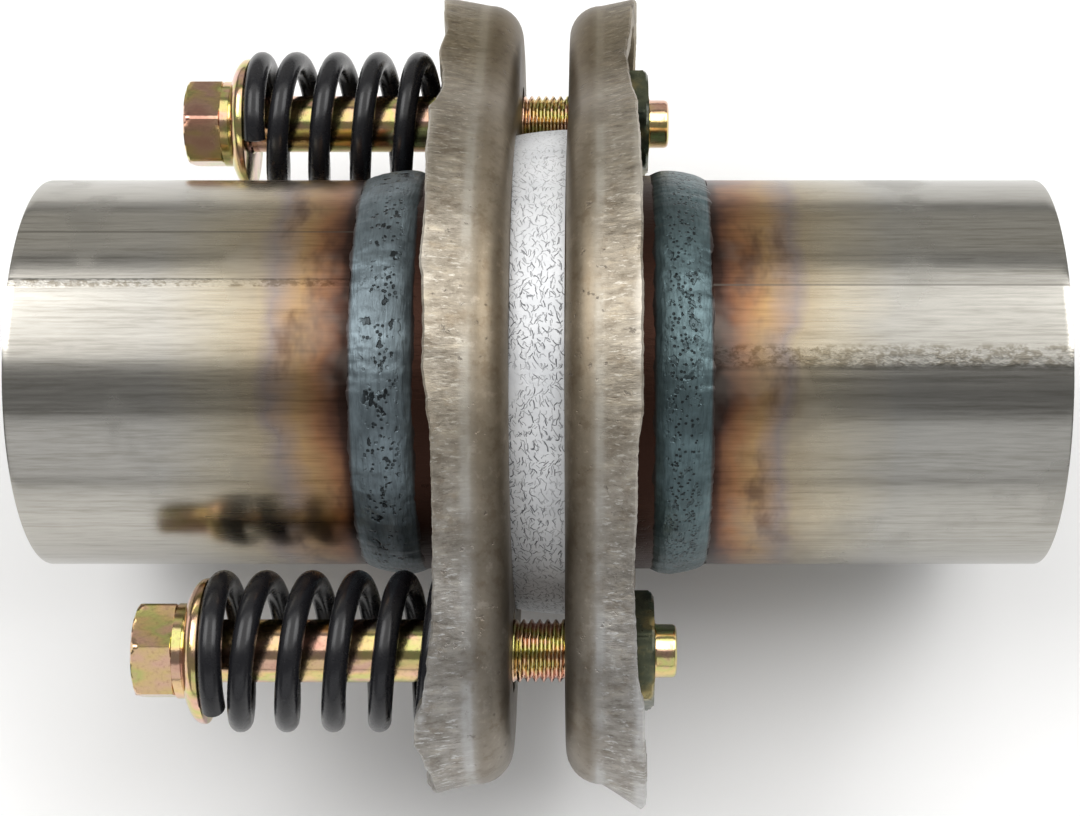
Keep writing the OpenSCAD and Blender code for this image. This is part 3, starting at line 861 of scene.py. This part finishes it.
# How far the raw edges reach past their nominal depth, along the bolt line (mm, mm)
SOCKET_EDGE = [(-69.6, -1.6), (-68.3, -0.5), (-65.9, 0.8), (-63, 0.45), (-61, -0.7),
               (-56.7, -1.4), (-51.6, -2.0), (-45.9, -2.2), (-33.5, -2.3), (-27.3, -2.2),
               (-23.7, -1.6), (-18.4, -1.0), (-14.9, -1.15), (-5.9, -0.95), (-3.4, -0.5),
               (0.9, -0.7), (5.4, -0.95), (13.4, -0.55), (21.3, -0.45), (28.3, -0.1),
               (31, -1.1), (34.8, -1.55), (41, -1.1), (47.8, -0.25), (53.1, -1.1),
               (58.7, -0.3), (66, 0.2), (69.7, 0.3)]
HOLDER_EDGE = [(-69.5, 0.9), (-67, 0.5), (-63.2, 0.4), (-59.3, -0.4), (-55.1, -0.8),
               (-49.8, -0.95), (-43.5, -1.2), (-42.2, -0.95), (-36.5, -0.8), (-30.4, -0.65),
               (-23.7, 0.1), (-14.9, 0.2), (-3.4, 0.15), (10.2, 0.1), (20.1, 0.0),
               (28.3, -0.25), (42, -1.4), (46.7, -1.75), (58.1, -0.8), (63, -0.3),
               (67, 0.2), (69.7, 0.3)]


def build_gasket():
    low, high = GASKET_LO[0], GASKET_HI[0]
    inner = NECK_BORE_R
    around, face_rows = 720, 34
    dent_height, dent_depth = 0.05, 0.06
    face = np.linspace(low + 0.35, BALL_X, face_rows)
    xs = [low, low] + list(face) + [high - 0.2, high, high]
    sphere = np.sqrt(BALL_R ** 2 - (face - BALL_X) ** 2)
    radii = [inner, sphere[0] - 0.5] + list(sphere) + [BALL_R, BALL_R - 0.3, inner]
    points = ring_points(xs, radii, around)
    angle = np.linspace(0, 2 * math.pi, around, endpoint=False)
    noise_y, noise_z = 40 * np.cos(angle), 40 * np.sin(angle)
    for row in range(2, 2 + face_rows):
        dent = dent_height * ripple(noise_y, noise_z, points[row, 0, 0], 2.2, 3) - dent_depth
        points[row, :, 1] += dent * np.cos(angle)
        points[row, :, 2] += dent * np.sin(angle)
    ring = grid_object("gasket_ball", points, True)
    give(ring, gasket_material(), "gasket_side", "gasket_ring")


def build_sleeve():
    low, high = SLEEVE_LO[0], SLEEVE_HI[0]
    outer, inner = NECK_BORE_R, NECK_BORE_R - WALL
    xs = [low, low + 0.3, high - 0.3, high, high, high - 0.2, low + 0.2, low]
    radii = [outer - 0.3, outer, outer, outer - 0.3, inner + 0.3, inner, inner, inner + 0.3]
    points = ring_points(xs, radii, around=240)
    sleeve = grid_object("gasket_carrier", points, True)
    give(sleeve, sleeve_material(), "gasket_side", "gasket_sleeve")


def build_fasteners():
    springs = spring_material()
    nuts = nut_material()
    thread_start = -4.5
    for place, y, turn, start in (("front", -BOLT_Y, 13, 160), ("rear", BOLT_Y, 24, 135)):
        one = bolt(place + "_hex_bolt", y, math.radians(turn), thread_start)
        give(one, zinc_material(place + "_zinc", 2 if place == "front" else 8),
             "gasket_side", place + "_bolt")
        give(nut(place + "_hex_nut", y, math.radians(5 if place == "front" else 20)), nuts,
             "gasket_side", place + "_nut")
        # Each half, listed with the two bodies of one joint and a span from_x to to_x, which are
        # not used
        for half, bodies, from_x, to_x in (
                ("head", ("gasket_side", "springs"), HEAD_SEAT_X + 4, SPRING_SEAT_X - 12),
                ("tail", ("springs", "socket_side"), SPRING_SEAT_X - 6.4, SPRING_SEAT_X - 2.2)):
            spring = coil(place + "_coil_" + half, y, start, half)
            spring.data.materials.append(springs)
            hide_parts(place + "_spring")
            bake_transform(spring)


# ---------------------------------------------------------------- floor and light
def build_stage():
    gap, size = 0.0002, 3.0
    floor_z = -HALF_WIDTH * MM - gap
    mesh = bpy.data.meshes.new("floor")
    mesh.from_pydata([(-size, -size, floor_z), (size, -size, floor_z), (size, size, floor_z),
                      (-size, size, floor_z)], [], [(0, 1, 2, 3)])
    floor = bpy.data.objects.new("floor", mesh)
    bpy.context.collection.objects.link(floor)
    s = Shader("pale_floor", 0.0, 0.8)
    haze = s.noise((6, 6, 6), 3, 0.5)
    colour = s.ramp(haze, [(0.3, (0.93, 0.93, 0.93)), (0.7, (0.95, 0.95, 0.95))])
    floor.data.materials.append(s.out(Base_Color=colour))


def area_light(name, azimuth, elevation, distance, size, power, colour=(1, 1, 1)):
    """A soft box aimed at the object. Azimuth 0 is the camera's side."""
    data = bpy.data.lights.new(name, "AREA")
    data.shape = "RECTANGLE"
    data.size, data.size_y = size
    data.energy = power
    data.color = colour
    light = bpy.data.objects.new(name, data)
    a, e = math.radians(azimuth), math.radians(elevation)
    back = Vector((math.sin(a) * math.cos(e), -math.cos(a) * math.cos(e), math.sin(e)))
    light.location = back * distance
    light.rotation_mode = "QUATERNION"
    light.rotation_quaternion = back.to_track_quat("Z", "Y")
    light.visible_camera = False
    bpy.context.collection.objects.link(light)


def build_lights():
    world = bpy.data.worlds.new("studio")
    world.use_nodes = True
    world.node_tree.nodes["Background"].inputs[0].default_value = (1.0, 1.0, 1.0, 1)
    world.node_tree.nodes["Background"].inputs[1].default_value = 0.22
    bpy.context.scene.world = world
    area_light("sky_box", 180, 81, 1.2, (1.8, 1.22), 9.8, (1.0, 0.985, 0.96))
    area_light("front_box", 0, 20, 1.2, (1.8, 0.8), 2.9, (0.97, 0.98, 1.0))
    area_light("rear_box", 180, 24, 1.2, (1.8, 0.8), 1.5, (1.0, 0.96, 0.86))
    area_light("left_box", -103, 50, 1.2, (0.7, 0.7), 6.0)
    area_light("right_box", 103, 50, 1.2, (0.7, 0.7), 6.0)


make_camera()
build_stage()
build_lights()
build_pipes()
build_welds()
build_flanges()
build_gasket()
build_sleeve()
build_fasteners()
bpy.context.scene.view_settings.view_transform = "Standard"
